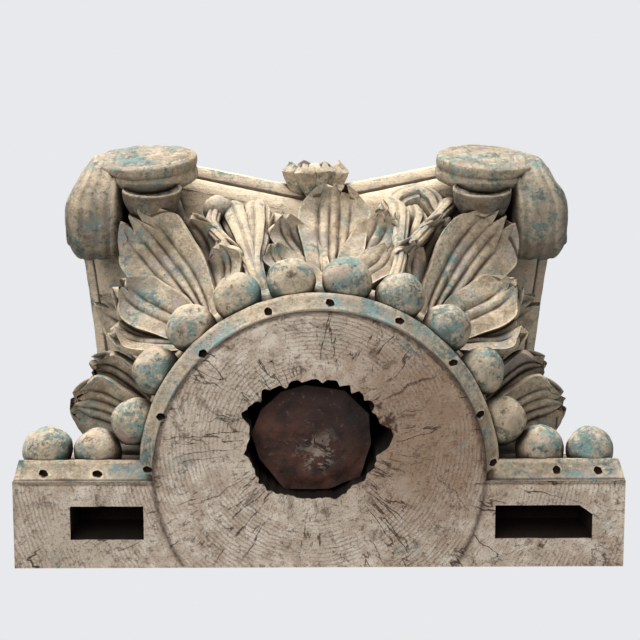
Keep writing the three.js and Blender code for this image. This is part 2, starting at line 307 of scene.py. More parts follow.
# Cracks in the end face: two ends, the greatest width and the depth.
CRACKS = (
    ((-113, -17), (-87, -15), 1.6, 7),
    ((-93, -33), (-59, -35), 1.8, 8),
    ((-63, -54), (-50, -51), 1.4, 5),
    ((-109, 41), (-53, 13), 1.5, 8),
    ((94, 11), (123, 42), 1.3, 6),
    ((50, -50), (97, -72), 3.2, 9),
    ((58, -36), (88, -44), 1.5, 5),
    ((62, -22), (84, -24), 1.2, 5),
    ((12, -70), (18, -92), 1.0, 5),
    ((-30, -66), (-42, -84), 0.9, 5),
    ((34, -62), (46, -82), 0.9, 5),
    ((-72, -2), (-96, 4), 1.0, 5),
    ((-58, 20), (-76, 34), 0.9, 5),
    ((66, 6), (92, -2), 1.0, 5),
    ((-20, 34), (-26, 52), 0.9, 5),
    ((28, 32), (40, 50), 0.9, 5),
    ((-24, -92), (-30, -110), 0.8, 4),
    ((60, -84), (72, -98), 0.8, 4),
)


def make_crack(start, end, width, depth):
    """A thin wedge that wanders from start to end; it is cut out of the end face."""
    start, end = np.array(start, float), np.array(end, float)
    way = unit(end - start)
    aside = np.array((-way[1], way[0]))
    rings = []
    for t in np.linspace(0, 1, 26):
        wander = 1.3 * math.sin(t * 9 + start[0]) + 0.7 * math.sin(t * 23 + start[1])
        middle = mix(start, end, t) + aside * wander
        half = width / 2 * (0.15 + math.sin(math.pi * min(0.98, t + 0.02)) ** 0.7)
        down = -2.0
        deep = 2 + depth * math.sin(math.pi * min(0.95, max(0.05, t))) ** 0.6
        left, right = middle - aside * half, middle + aside * half
        rings.append([(*left, down), (*middle, deep), (*right, down)])
    return skin(rings)


# Empty nail holes in the foot moulding.
NAILS = (
    (-226, 12.5), (-182, 13), (-141, 9.5), (-129.5, -35), (-94.5, -87), (-41.5, -121), (8.5, -128),
    (65, -113), (109, -78.5), (131.5, -36), (143, 5), (195, 11), (229, 11.5),
)


def make_nail_hole(x, y, order):
    """An out-of-round pin to cut out, a little bell-mouthed."""
    sides = 14
    rings = []
    for z, radius in ((-2, 5.0), (3, 4.6), (9, 3.8), (17, 3.2)):
        ring = []
        for i in range(sides):
            angle = 2 * math.pi * i / sides
            reach = radius * (1 + 0.12 * math.sin(2 * angle + order) + 0.07 * math.sin(5 * angle + order * 2))
            ring.append((x + reach * math.cos(angle), y + reach * 0.8 * math.sin(angle), z))
        rings.append(ring)
    return skin(rings)


def make_block():
    """Foot and bell by level: z, the half round's radius, the flange's front and half of the width."""
    profile = []
    for z in np.linspace(0, COVE_RISE, 9):
        rise = (z / COVE_RISE) ** 2.1
        front = mix(FLANGE_Y + FLANGE_COVE, FLANGE_Y, rise)
        half = FOOT_HALF - 3 * (z / COVE_RISE) ** 3
        profile.append((z, mix(LIP_RADIUS, RIM_RADIUS - 0.6, rise), front, half))
    profile += [
        (COVE_RISE + 1.3, RIM_RADIUS, FLANGE_Y, FOOT_HALF - 3),
        (COVE_RISE + 2.6, RIM_RADIUS - 0.4, FLANGE_Y, FOOT_HALF - 3),
        (COVE_RISE + 3.6, NECK + 3, FLANGE_Y + 3, FOOT_HALF - 4),
        (COVE_RISE + 4.4, NECK, FLANGE_Y + 6, FOOT_HALF - 5),
    ]
    corners = [
        profile[-1],
        (BEAD_Z + BEAD_RADIUS + 3, NECK + 11, FLANGE_Y + 7, FOOT_HALF - 6),
        (BEAD_Z + BEAD_RADIUS + 14, NECK + 2, 12, UPPER_HALF + 4),
        (170, NECK + 10, 12, UPPER_HALF - 3),
        (236, NECK + 26, 12, UPPER_HALF),
        (ABACUS_Z + 3, NECK + 38, 12, UPPER_HALF + 3),
    ]
    for start, end in zip(corners, corners[1:]):
        count = max(2, round((end[0] - start[0]) / 7))
        profile += [tuple(mix(a, b, i / count) for a, b in zip(start, end)) for i in range(1, count + 1)]
    rings = [[(x, y, z) for x, y in bell_outline(radius, front, half)] for z, radius, front, half in profile]
    verts, faces = skin(rings, caps=False)
    count = len(rings[0])
    top = len(verts) - count
    faces.append(range(top, top + count))

    bore, left, right = bore_outline(), mortise_loop(-1), mortise_loop(1)
    coords, cap = filled(np.array(rings[0])[:, :2], [bore, left, right], 2.0)
    sunk = end_face_depth(coords).clip(0)
    verts = verts.tolist() + [(x, y, z) for (x, y), z in zip(coords[count:], sunk[count:])]
    index = np.arange(len(coords))
    index[count:] += top
    faces += index[cap][:, [0, 2, 1]].tolist()

    start = count
    for loop, depth, levels, wobble in (
        (bore, BORE_HEIGHT, 30, 0.05), (left, MORTISE_HEIGHT, 10, 0), (right, MORTISE_HEIGHT, 10, 0)
    ):
        size = len(loop)
        previous = index[start:start + size].tolist()
        start += size
        centre = loop.mean(0)
        for level in range(1, levels + 1):
            z = depth * (level / levels) ** 1.3
            places = np.column_stack((loop * 0.05, np.full(size, z * 0.02)))
            push = wobble * noise_of(places, 1, 0) * min(1.0, z / 12)
            current = list(range(len(verts), len(verts) + size))
            verts += [(x, y, z) for x, y in loop + (loop - centre) * push[:, None]]
            faces += band(current, previous)
            previous = current
        faces.append(previous[::-1])
    return np.array(verts), faces


def abacus_outline(inset):
    end_x = HORN_X - inset * 0.4
    end_y = -HORN_Y + inset * 0.4
    front = []
    soft = 10
    for x in np.linspace(-end_x, end_x, 90):
        share = (math.hypot(x, soft) - soft) / (math.hypot(end_x, soft) - soft)
        front.append((x, -(ABACUS_FRONT - inset) - (HORN_FRONT - ABACUS_FRONT) * share))
    side = []
    for y in np.linspace(end_y, WALL_Y, 60):
        side.append((ABACUS_SIDE - inset + (HORN_SIDE - ABACUS_SIDE) * abs(y / end_y) ** 1.3, y))
    back = [(x, WALL_Y) for x in np.linspace(side[-1][0], -side[-1][0], 60)[1:-1]]
    return front + side + back + [(-x, y) for x, y in reversed(side)]


def make_abacus():
    half = ABACUS_INSET / 2
    profile = (
        (ABACUS_Z, ABACUS_INSET), (ABACUS_Z + 5, half + 4), (ABACUS_Z + 10, half), (ABACUS_Z + 14, half),
        (ABACUS_Z + 15, half - 5), (ABACUS_Z + 17, 2), (ABACUS_Z + 19, 0), (HEIGHT - 16, 0),
        (HEIGHT - 9, 0.5), (HEIGHT - 3, 0), (HEIGHT, 2),
    )
    rings = [[(x, y, z) for x, y in abacus_outline(inset)] for z, inset in profile]
    verts, faces = skin(rings, caps=False)
    count = len(rings[0])
    faces.append(range(count - 1, -1, -1))
    coords, cap = filled(np.array(rings[-1])[:, :2], [], 9.0)
    faces += (cap + len(verts) - count).tolist()
    return np.concatenate((verts, [(x, y, HEIGHT) for x, y in coords[count:]])), faces


def make_bead(place, radius, seed):
    rows, cols = 22, 36
    random = np.random.default_rng(seed)
    stretch = random.uniform(0.96, 1.04, 3)
    tilt = random.uniform(0, math.pi)
    points = []
    for i in range(rows + 1):
        down = math.pi * i / rows
        for j in range(cols):
            turn = 2 * math.pi * j / cols + tilt
            points.append((math.sin(down) * math.cos(turn), math.sin(down) * math.sin(turn), -math.cos(down)))
    points = np.array(points) * stretch
    lumps = noise_of(points, 1.3, seed * 2.3) * 0.075 + noise_of(points, 4.0, seed * 1.1) * 0.018
    points *= (0.97 + lumps)[:, None]
    rings = (points * radius + place).reshape(rows + 1, cols, 3)
    verts, faces = skin(rings[1:-1], caps=False)
    foot, head = len(verts), len(verts) + 1
    verts = np.concatenate((verts, [rings[0, 0], rings[-1, 0]]))
    last = (rows - 2) * cols
    for j in range(cols):
        k = (j + 1) % cols
        faces.append((foot, k, j))
        faces.append((last + j, last + k, head))
    return verts, faces


def make_beads():
    right = [np.array((x, FLANGE_BEAD_Y, BEAD_Z)) for x in FLANGE_BEADS]
    right += [polar(BEAD_STEP * (i + 0.5), BEAD_RING, BEAD_Z) for i in range(BEADS_PER_SIDE)]
    places = [place * (hand, 1, 1) for place in right for hand in (1, -1)]
    return [make_bead(place, BEAD_RADIUS, i + 1) for i, place in enumerate(places)]


# Lobes: closed blades with carved grooves. They are the leaves and the flower.
FINE = np.linspace(0, 1, 61)


def spine(root, tip, grow, face, curl):
    """Centre line of a blade, with its sideways and outward directions.

    It leaves its root along grow, flares towards face to reach its tip, and rolls over there by curl degrees.
    """
    way = tip - root
    rise = grow * way.dot(grow)
    knee = root + 0.62 * rise + 0.22 * (way - rise)
    t = FINE[:, None]
    curve = (1 - t) ** 2 * root + 2 * t * (1 - t) * knee + t ** 2 * tip
    along = np.gradient(curve, axis=0)
    along /= np.linalg.norm(along, axis=1)[:, None]
    sideways = np.cross(along, face)
    sideways /= np.linalg.norm(sideways, axis=1)[:, None]
    normal = np.cross(sideways, along)
    roll = np.radians(curl) * smooth(0.72, 1, FINE)[:, None]
    along, normal = along * np.cos(roll) + normal * np.sin(roll), normal * np.cos(roll) - along * np.sin(roll)
    steps = np.linalg.norm(np.diff(curve, axis=0), axis=1)[:, None] * (along[1:] + along[:-1]) / 2
    centre = root + np.concatenate((np.zeros((1, 3)), np.cumsum(steps, 0)))
    return centre, sideways, normal


def make_lobe(root, tip, grow, face, width, curl, root_thick=30, tip_thick=12, grooves=(0,), relief=2.5,
              neck=0.4, fullest=0.88, scallops=2, cup=0.16, rows=34, cols=32, seed=0):
    """A blade with grooves at places across it from -1 to 1, a scalloped tip and cupped sides."""
    centre, sideways, normal = spine(root, tip, grow, face, curl)

    def at(table, u):
        return np.stack([np.interp(u, FINE, table[:, k]) for k in range(3)], -1)

    u = 1 - (1 - np.arange(rows + 1) / rows) ** 1.5
    v = np.linspace(-1, 1, cols + 1)
    u, v = np.meshgrid(u, v, indexing="ij")
    groove_width = 3.6 / cols
    bent = v + 0.05 * np.sin(3 * u + seed)
    valley = sum(np.exp(-(((bent - groove) / groove_width) ** 2)) for groove in grooves)
    scallop = 1 - np.abs(np.sin(math.pi * scallops * (v + 1) / 2 + 0.2 * math.sin(seed)))
    reach = u * (1 - 0.08 * scallop * smooth(0.55, 1, u))
    swell = mix(neck, 1, np.sin(np.clip(u / fullest, 0, 1) * math.pi / 2) ** 1.2)
    taper = np.clip(1 - ((u - fullest) / (1.01 - fullest)) ** 2.4, 0, 1) ** 0.5
    half = width / 2 * np.where(u < fullest, swell, taper)
    ruffle = 0.03 * np.sin(u * 13 + seed * 1.7) * smooth(0.2, 0.5, u) * np.sign(v)
    half = half * (1 + ruffle * np.sign(math.sin(seed + 1)))
    fade = smooth(0.0, 0.12, u) * (1 - 0.6 * smooth(0.8, 1, u))
    lift = cup * half * v ** 2 - relief * valley * fade - 1.2 * scallop * smooth(0.4, 0.9, u)
    thick = mix(root_thick, tip_thick, np.clip(u * 1.25, 0, 1) ** 0.8)
    out = at(normal, reach)
    front = at(centre, reach) + at(sideways, reach) * (half * v)[..., None] + out * lift[..., None]
    edge = 6.0
    body = edge + (thick - edge) * np.clip(1 - v ** 2, 0, 1) ** 0.7
    back = front - out * body[..., None]
    rings = np.concatenate((front, back[:, ::-1]), 1)
    return skin(rings)


# Lobes by the plan angle, the radius and the height of their root and tip, their width and their curl. The
# leaves at the corners and sides stand on both hands, with angles counted from the front.
MIDDLE_LEAF = (
    ((4.5, 144, 52), (4.3, 218, 212), 66, 40),
    ((1.0, 150, 84), (-10.5, 196, 172), 44, 60),
    ((8.5, 150, 84), (19.0, 205, 174), 46, 60),
    ((0.0, 146, 56), (-14.5, 176, 126), 42, 55),
    ((9.0, 146, 56), (21.5, 182, 126), 42, 55),
)
SIDE_LEAVES = (
    ((40.0, 144, 52), (40.7, 257, 180), 70, 36),
    ((36.0, 146, 58), (29.8, 221, 180), 42, 60),
    ((43.5, 146, 58), (52.0, 222, 124), 52, 50),
    ((46.0, 146, 54), (60.5, 203, 100), 42, 50),
    ((34.0, 146, 54), (24.5, 193, 128), 40, 60),
    ((79.0, 146, 54), (78.0, 215, 90), 58, 40),
    ((72.0, 146, 58), (68.0, 208, 100), 42, 50),
    ((60.0, 146, 70), (59.0, 228, 186), 44, 50),
    ((76.0, 146, 70), (77.0, 206, 158), 44, 50),
    ((103.4, 185, 66), (100.6, 234, 165), 54, 40),
)


def make_leaf_lobe(form, hand, seed):
    """A lobe on one hand; the wide ones are finer and have more grooves."""
    low, high, width, curl = form
    root, tip = (polar(turn * hand, radius, z) for turn, radius, z in (low, high))
    face, _ = compass(hand * (low[0] + high[0]) / 2)
    if width > 54:
        detail = {"grooves": (-0.45, -0.15, 0.13, 0.42), "scallops": 3, "rows": 48, "cols": 56}
    else:
        detail = {"grooves": (-0.24, 0.2), "scallops": 2, "rows": 34, "cols": 38}
    return make_lobe(root, tip, UP, face, width, curl, seed=seed, **detail)


def make_leaves():
    leaves = [make_leaf_lobe(form, 1, 3 + order) for order, form in enumerate(MIDDLE_LEAF)]
    for hand in (-1, 1):
        leaves += [make_leaf_lobe(form, hand, 11 + hand + order) for order, form in enumerate(SIDE_LEAVES)]
    return leaves


def swept(route, sizes, sides=24, flutes=3):
    """A stem through places, with a radius at each of them and shallow flutes along it."""
    steps = np.linspace(0, len(route) - 1, 34)
    at = np.arange(len(route))
    curve = np.stack([np.interp(steps, at, np.array(route, float)[:, k]) for k in range(3)], 1)
    radius = np.interp(steps, at, sizes)
    for _ in range(6):
        curve[1:-1] = (curve[:-2] + 2 * curve[1:-1] + curve[2:]) / 4
    rings = []
    for point, way, size in zip(curve, np.gradient(curve, axis=0), radius):
        way = unit(way)
        across = unit(np.cross(way, (0.2, 1, 0.1)))
        other = np.cross(way, across)
        ring = []
        for angle in np.linspace(0, 2 * math.pi, sides, endpoint=False):
            reach = size * (0.82 + 0.18 * abs(math.cos(angle * flutes)) ** 0.5)
            ring.append(point + reach * (math.cos(angle) * across + math.sin(angle) * other))
        rings.append(ring)
    return skin(rings)


# The stems between the leaves: places and a radius at each.
LEFT_ROOT = ((-44, -118, 70), (-56, -146, 96))
STEMS = (
    (((58, -118, 70), (70, -149, 96), (73, -165, 140), (76, -186, 190), (66, -196, 210)), (8, 6, 7, 11, 7)),
    (((74, -155, 118), (92, -168, 152), (116, -187, 192), (121, -190, 202)), (6, 7, 7, 9)),
    (((64, -180, 214), (76, -192, 236), (98, -198, 246), (114, -190, 236), (122, -176, 216)),
     (12, 14, 14, 13, 9)),
    (((66, -130, 110), (82, -158, 160), (92, -176, 200), (90, -186, 216)), (8, 11, 13, 9)),
    ((*LEFT_ROOT, (-76, -160, 130), (-97, -175, 170), (-94, -186, 186)), (8, 6, 6, 7, 7)),
    ((*LEFT_ROOT, (-66, -166, 150), (-78, -184, 204), (-80, -187, 216)), (8, 8, 12, 15, 11)),
    ((*LEFT_ROOT, (-54, -166, 150), (-57, -184, 204), (-55, -188, 218)), (8, 8, 12, 15, 11)),
)
BUDS = ((-92, -190, 195, 13.5), (122, -191, 206, 10))


def make_stalks():
    """The stems between the leaves, with their buds."""
    stems = [swept(route, sizes) for route, sizes in STEMS]
    buds = [make_bead(np.array(bud[:3], float), bud[3], 50 + order) for order, bud in enumerate(BUDS)]
    return stems + buds


# Scrolls: discs with a spiral on the face and a fluted rim.
def make_scroll(radius, thick, place, direction, coil, dome=3.0, flutes=3, spiral=2.0, corner=None, thin=1.0,
                back=1.0, soft=1.2):
    """A disc that faces direction; coil is the hand of its spiral.

    corner is the direction to the corner of the abacus, towards which the disc gets thinner, back is the
    share of the radius at the back of the disc, and soft is the rounding of its edges.
    """
    half = thick / 2
    cols = 110
    turns = np.linspace(0, 2 * math.pi, cols, endpoint=False)
    start = 1 - (soft + 3.4) / radius
    profile = [(radius * back * r, -half) for r in np.linspace(0.1, start, 8)]
    for share in np.linspace(0, 1, 26):
        flute = 0.4 + 0.6 * abs(math.sin(math.pi * flutes * share)) ** 0.6
        rounding = soft * max(0.0, 1 - min(share, 1 - share) * thick / soft / 1.4) ** 2
        profile.append((mix(back, 1, share) * radius - 3.6 * (1 - flute) - rounding, -half + thick * share))
    rings = [[(r, t, h) for t in turns] for r, h in profile]
    for r in np.linspace(start, 0.03, 34):
        ring = []
        for t in turns:
            phase = (r * 2.8 - coil * t / (2 * math.pi)) % 1
            groove = math.exp(-((phase - 0.5) / 0.17) ** 2)
            fade = float(smooth(start, start - 0.08, np.array(r)) * smooth(0.1, 0.2, np.array(r)))
            ring.append((radius * r, t, half + dome * (1 - r * r) - spiral * groove * fade))
        rings.append(ring)
    points = np.array([[(r * math.cos(t), r * math.sin(t), h) for r, t, h in ring] for ring in rings])
    verts, faces = skin(points)
    turn = np.array(Vector((0, 0, 1)).rotation_difference(Vector(direction).normalized()).to_matrix())
    verts = verts @ turn.T
    if corner is not None:
        axis = turn[:, 2]
        nearness = smooth(0.0, 1.05, verts @ unit(corner) / radius)
        depth = verts @ axis
        keep = 1 - (1 - thin) * nearness
        anchor = half if np.dot(axis, (0, -1, 0)) > 0.8 else -half
        verts = verts + np.outer((depth - anchor) * (keep - 1), axis)
    return verts + place, faces


def make_corner(hand):
    """The soft-edged lump of wood behind two scrolls that meet, right under the abacus."""
    size, place = (84, 80, 34), np.array((hand * 178, -194, ABACUS_Z - 10))
    grid = np.linspace(-1, 1, 11)
    loop = [(a, -1) for a in grid[:-1]] + [(1, b) for b in grid[:-1]] + [(-a, 1) for a in grid[:-1]]
    loop += [(-1, -b) for b in grid[:-1]]
    rings = []
    for w in grid:
        pinch = 1 - 0.12 * w ** 6
        ring = []
        for a, b in loop:
            soft = 1 - 0.1 * (abs(a) * abs(b)) ** 4
            ring.append((a * soft * pinch * size[0] / 2, b * soft * pinch * size[1] / 2, w * size[2] / 2))
        rings.append(ring)
    verts, faces = skin(rings)
    return verts + place, faces


# The stalk that rises from the bell to each pair of scrolls: places on the right side and a radius at each.
VOLUTE_STALK = (((80, -72, 96), (104, -104, 150), (128, -138, 196), (150, -168, 232), (166, -186, 262)),
                (12, 20, 25, 31, 36))


def make_volutes():
    front_thick, side_thick, curl_thick = 24, 50, 26
    pieces = []
    for hand in (-1, 1):
        front_place = np.array((hand * 161, -FRONT_REACH + front_thick / 2 + 14, VOLUTE_Z + 4))
        side_place = np.array((hand * 206, -190, VOLUTE_Z))
        curl_place = np.array((hand * 151, -198, VOLUTE_Z - 40))
        to_corner = np.array((hand, 0, 0.0))
        pieces.append(make_scroll(VOLUTE_RADIUS, front_thick, front_place, (hand * 0.05, -1, -0.2), -hand,
                                  flutes=2, corner=to_corner, thin=0.55))
        pieces.append(make_scroll(VOLUTE_RADIUS + 1, side_thick, side_place, (hand, -0.04, -0.06), hand,
                                  dome=4, flutes=4, corner=(0, -1, 0), thin=0.66, soft=10))
        pieces.append(make_scroll(29, curl_thick, curl_place, (0, -1, -0.24), -hand, dome=-7, flutes=1,
                                  spiral=0.5, back=0.72))
        pieces.append(make_corner(hand))
        route, sizes = VOLUTE_STALK
        pieces.append(swept([(hand * x, y, z) for x, y, z in route], sizes, sides=36, flutes=4))
    return pieces


def make_flower():
    petals = 8
    forward = np.array((0.0, -1.0, 0.0))
    centre = np.array((-1, -ABACUS_FRONT - 1, ABACUS_Z + 25))
    pieces = [make_bead(centre + forward * 12, 13, 60), make_bead(centre + forward * 2, 15, 61)]
    for i in range(petals):
        turn = math.radians(360 / petals * (i + 0.5))
        grow = np.array((math.sin(turn), 0, math.cos(turn)))
        root = centre + grow * 5
        tip = root + grow * (18 + i % 3) + forward * (27 + i % 2 * 1.5)
        width = 22 + i % 3 * 1.3
        pieces.append(make_lobe(root, tip, grow, forward, width, curl=-30, root_thick=15, tip_thick=12,
                                relief=2.2, fullest=0.8, scallops=1, cup=0.0, rows=22, cols=18, seed=i))
    for verts, _ in pieces:
        verts[:, 2] = np.minimum(verts[:, 2], HEIGHT - 0.5)
    return pieces


# Wear and finish of the meshes.
def points_of(mesh):
    """Points in millimetres and their normals."""
    points, normals = np.empty(len(mesh.vertices) * 3), np.empty(len(mesh.vertices) * 3)
    mesh.vertices.foreach_get("co", points)
    mesh.vertex_normals.foreach_get("vector", normals)
    return points.reshape(-1, 3) / MM, normals.reshape(-1, 3)


def weather(piece, amount):
    """Pushes every point along its normal by a smooth noise, but keeps the foot, top and wall side flat."""
    mesh = piece.data
    points, normals = points_of(mesh)
    push = amount * noise_of(points, 0.06, 1.5) + 0.16 * noise_of(points, 0.3, 7.5)
    push *= smooth(0.5, 4, points[:, 2]) * smooth(0.2, 3, HEIGHT - points[:, 2])
    push *= smooth(0.2, 3, AXIS_Y + WALL_Y - points[:, 1])
    points += normals * push[:, None]
    mesh.vertices.foreach_set("co", (points * MM).ravel())
    mesh.update()


def relief_of(mesh, points, normals):
    """How far each point stands out of its smoothed surroundings, in millimetres; grooves are below 0."""
    edges = np.empty(len(mesh.edges) * 2, np.int64)
    mesh.edges.foreach_get("vertices", edges)
    first, second = edges.reshape(-1, 2).T
    size = len(points)
    count = np.bincount(edges, minlength=size).clip(1)
    soft = points.T.copy()
    for _ in range(9):
        for k, row in enumerate(soft):
            total = np.bincount(first, row[second], size) + np.bincount(second, row[first], size)
            soft[k] = 0.5 * row + 0.5 * total / count
    return ((points - soft.T) * normals).sum(1)


def put_layer(mesh, name, values):
    layer = mesh.attributes.new(name, "FLOAT", "POINT")
    layer.data.foreach_set("value", np.broadcast_to(values, len(mesh.vertices)).astype(np.float32))


def finish(piece, materials, paint, dirt_and_shade):
    """Rides, replaces and smooths the piece and gives it its materials.

    paint is the amount of old paint left at each point, and the last argument the amount of grime and of
    painted shade: the shade in the bore, the mortises, the groove inside the foot's lip and under the front
    scrolls.
    """
    mesh = piece.data
    mesh.materials.clear()
    for material in materials:
        mesh.materials.append(material)
    points, normals = points_of(mesh)
    put_layer(mesh, "paint", paint)
    put_layer(mesh, "dirt_and_shade", dirt_and_shade)
    put_layer(mesh, "relief", relief_of(mesh, points, normals))
    mesh.polygons.foreach_set("use_smooth", np.ones(len(mesh.polygons), bool))
    mesh.set_sharp_from_angle(angle=math.radians(38))
    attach(piece, "root")
    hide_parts("capital")


# Materials.
class Nodes:
    """Short calls for building a node tree."""

    def __init__(self, name):
        self.material = bpy.data.materials.new(name)
        self.material.use_nodes = True
        self.tree = self.material.node_tree
        self.shader = self.tree.nodes["Principled BSDF"]
        self.place = self.add("TexCoord").outputs["Object"]

    def add(self, kind, **inputs):
        """A shader node with values or sockets for its inputs."""
        node = self.tree.nodes.new("ShaderNode" + kind)
        for name, value in inputs.items():
            self.join(value, node.inputs[name.replace("_", " ")])
        return node

    def join(self, value, socket):
        if isinstance(value, bpy.types.NodeSocket):
            self.tree.links.new(value, socket)
        else:
            socket.default_value = value

    def moved(self, x, y):
        """The place measured from x and y in the frame."""
        return self.add("Mapping", Vector=self.place, Location=(-x, -y, 0)).outputs[0]

    def noise(self, scale, detail=4, rough=0.55, stretch=None, distortion=0.0):
        place = self.place
        if stretch:
            place = self.add("Mapping", Vector=place, Scale=stretch).outputs[0]
        return self.add("TexNoise", Vector=place, Scale=scale, Detail=detail, Roughness=rough,
                        Distortion=distortion).outputs["Fac"]

    def layer(self, name):
        node = self.add("Attribute")
        node.attribute_name = name
        return node.outputs["Fac"]

    def math(self, operation, a, b=0.0):
        node = self.add("Math")
        node.operation = operation
        self.join(a, node.inputs[0])
        self.join(b, node.inputs[1])
        return node.outputs[0]

    def times(self, a, b):
        return self.math("MULTIPLY", a, b)

    def plus(self, a, b):
        return self.math("ADD", a, b)

    def length(self, vector):
        node = self.add("VectorMath")
        node.operation = "LENGTH"
        self.join(vector, node.inputs[0])
        return node.outputs["Value"]

    def step(self, value, low, high):
        """A smooth step from low to high."""
        node = self.add("MapRange", Value=value, From_Min=low, From_Max=high)
        node.interpolation_type = "SMOOTHSTEP"
        return node.outputs["Result"]

    def blend(self, share, a, b):
        node = self.add("Mix")
        node.data_type = "RGBA"
        self.join(share, node.inputs["Factor"])
        sockets = [s for s in node.inputs if s.type == "RGBA"]
        self.join(a, sockets[0])
        self.join(b, sockets[1])
        return [s for s in node.outputs if s.type == "RGBA"][0]

    def cover(self, base, *coats):
        """Lays coats over base: each has a mask, its share where the mask is 1, and its colour."""
        for mask, share, tone in coats:
            base = self.blend(self.times(mask, share), base, colour(*tone))
        return base

    def hollow_shade_and_grime(self, distance, low, high, tone, base):
        """Painted shade, with some grime, over base: a tone laid where little air within the distance is
        open.
        """
        node = self.add("AmbientOcclusion", Distance=distance)
        node.samples = 8
        return self.blend(self.step(node.outputs["AO"], low, high), colour(*tone), base)

    def dress(self, base, roughness, height, strength, distance):
        """Joins a colour and a height to the shader."""
        self.join(base, self.shader.inputs["Base Color"])
        self.shader.inputs["Roughness"].default_value = roughness
        bump = self.add("Bump", Height=height, Strength=strength, Distance=distance)
        self.join(bump.outputs[0], self.shader.inputs["Normal"])
        return self.material


def colour(red, green, blue):
    """A linear colour from 0 to 255 screen values."""
    shares = (red / 255, green / 255, blue / 255)
    return tuple(((share + 0.055) / 1.055) ** 2.4 for share in shares) + (1,)


def carved_wood():
    """Bare weathered wood with crumbs of old blue-green paint, most of it on the beads, rims and scrolls; it
    has painted shade in its hollows, grooves and holes, and painted light on the abacus.
    """
    n = Nodes("old_carved_wood")
    n.shader.inputs["Specular IOR Level"].default_value = 0.25
    broad = n.noise(9, 3)
    patch = n.noise(42, 5, 0.62)
    crumb = n.noise(210, 5, 0.68)
    speck = n.noise(620, 3, 0.6)
    height = n.add("SeparateXYZ", Vector=n.place).outputs["Z"]
    on_abacus = n.step(height, 0.268, 0.274)
    upright = n.noise(1, 4, 0.6, stretch=(300, 300, 18), distortion=0.3)
    lengthwise = n.noise(1, 4, 0.6, stretch=(14, 320, 320), distortion=0.3)
    grain = n.plus(upright, n.times(on_abacus, n.math("SUBTRACT", lengthwise, upright)))
    relief = n.layer("relief")
    paint = n.layer("paint")
    base = n.cover(
        n.blend(n.step(patch, 0.34, 0.66), colour(210, 192, 164), colour(150, 132, 108)),
        (n.step(broad, 0.42, 0.62), 0.6, (172, 160, 142)),
        # Painted light: the abacus is laid lighter, as its front band is lit.
        (on_abacus, 0.85, (238, 220, 194)),
        (n.step(grain, 0.48, 0.72), 0.5, (124, 104, 82)),
        (n.step(crumb, 0.54, 0.68), 0.6, (112, 94, 76)),
        (n.step(crumb, 0.44, 0.34), 0.5, (222, 206, 186)),
        (n.step(n.noise(27, 4, 0.6), 0.52, 0.62), 0.45, (162, 154, 156)),
        (n.step(relief, 0.15, 0.9), 0.65, (230, 208, 176)),
    )
    flakes = n.plus(n.times(n.noise(30, 6, 0.7), 0.75), n.times(crumb, 0.45))
    flakes = n.plus(flakes, n.times(paint, 0.16))
    flakes = n.plus(flakes, n.times(n.step(relief, 1.2, 2.6), 0.05))
    base = n.cover(base, (n.step(flakes, 0.62, 0.78), 0.6, (152, 155, 142)))
    teal = n.blend(n.step(n.noise(52, 4), 0.38, 0.62), colour(76, 104, 102), colour(112, 160, 160))
    base = n.blend(n.times(n.step(flakes, 0.7, 0.8), 0.75), base, teal)
    rose = n.times(n.step(n.noise(38, 4, 0.6), 0.55, 0.68), n.step(paint, 0.2, 0.8))
    soot = n.times(n.step(n.noise(95, 6, 0.75), 0.54, 0.64), n.step(paint, 0.1, 0.9))
    base = n.cover(
        base,
        (rose, 0.7, (196, 170, 150)),
        (soot, 0.8, (62, 58, 50)),
        # Painted shade in the grooves of the carving.
        (n.step(relief, -0.2, -1.2), 0.85, (72, 53, 37)),
        (n.step(speck, 0.56, 0.7), 0.35, (70, 56, 45)),
    )
    # Painted shade, with some grime, in the hollows, at two distances.
    base = n.hollow_shade_and_grime(0.008, 0.3, 0.9, (66, 50, 37), base)
    base = n.hollow_shade_and_grime(0.045, 0.1, 0.75, (58, 44, 33), base)
    # Grime on the carved pieces, and painted shade in the bore, the mortises and under the front scrolls.
    base = n.cover(base, (n.layer("dirt_and_shade"), 0.95, (34, 24, 18)))
    rough = n.plus(n.plus(n.times(grain, 0.7), crumb), n.times(speck, 0.5))
    return n.dress(base, 0.86, rough, 0.8, 0.0016)


